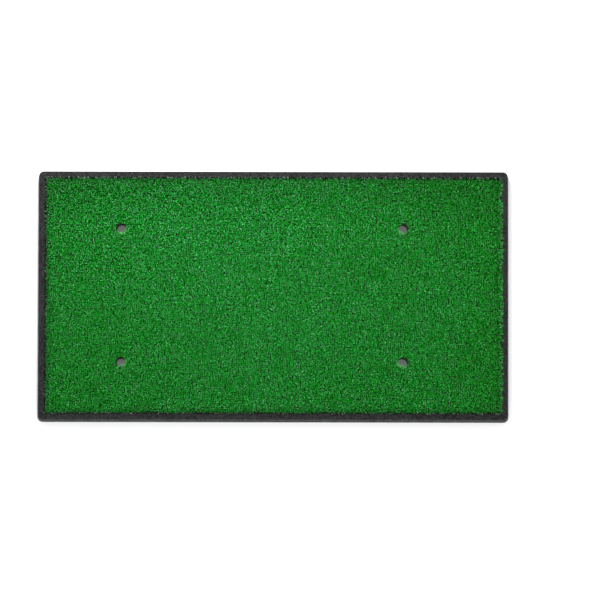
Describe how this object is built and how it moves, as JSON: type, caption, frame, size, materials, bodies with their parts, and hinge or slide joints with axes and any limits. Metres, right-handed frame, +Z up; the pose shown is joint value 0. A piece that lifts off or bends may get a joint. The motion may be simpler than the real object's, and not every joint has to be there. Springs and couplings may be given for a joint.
{
  "type": "golf hitting mat",
  "caption": "Rectangular golf hitting mat: a moulded black rubber base with a raised rim, a panel of short green turf glued inside it, and round tee holes right through.",
  "frame": {"origin": "on the ground under the middle of the base's bounding box", "axes": "+X to the right along the mat's length, +Y from the front edge to the back edge, +Z up out of the turf"},
  "size_m": [0.6096, 0.329, 0.017],
  "materials": {
    "base_rubber": "matt black moulded rubber with a fine pitted grain",
    "glue": "cloudy amber contact glue",
    "latex": "matt black latex coat",
    "cloth": "dark flat-woven polypropylene cloth",
    "turf": "short dense curled green yarn, slightly shiny"
  },
  "bodies": {
    "root": {"rubber_base": "base_rubber", "glue_film": "glue", "latex_coat": "latex", "backing_cloth": "cloth", "turf_pile": "turf"}
  },
  "joints": []
}
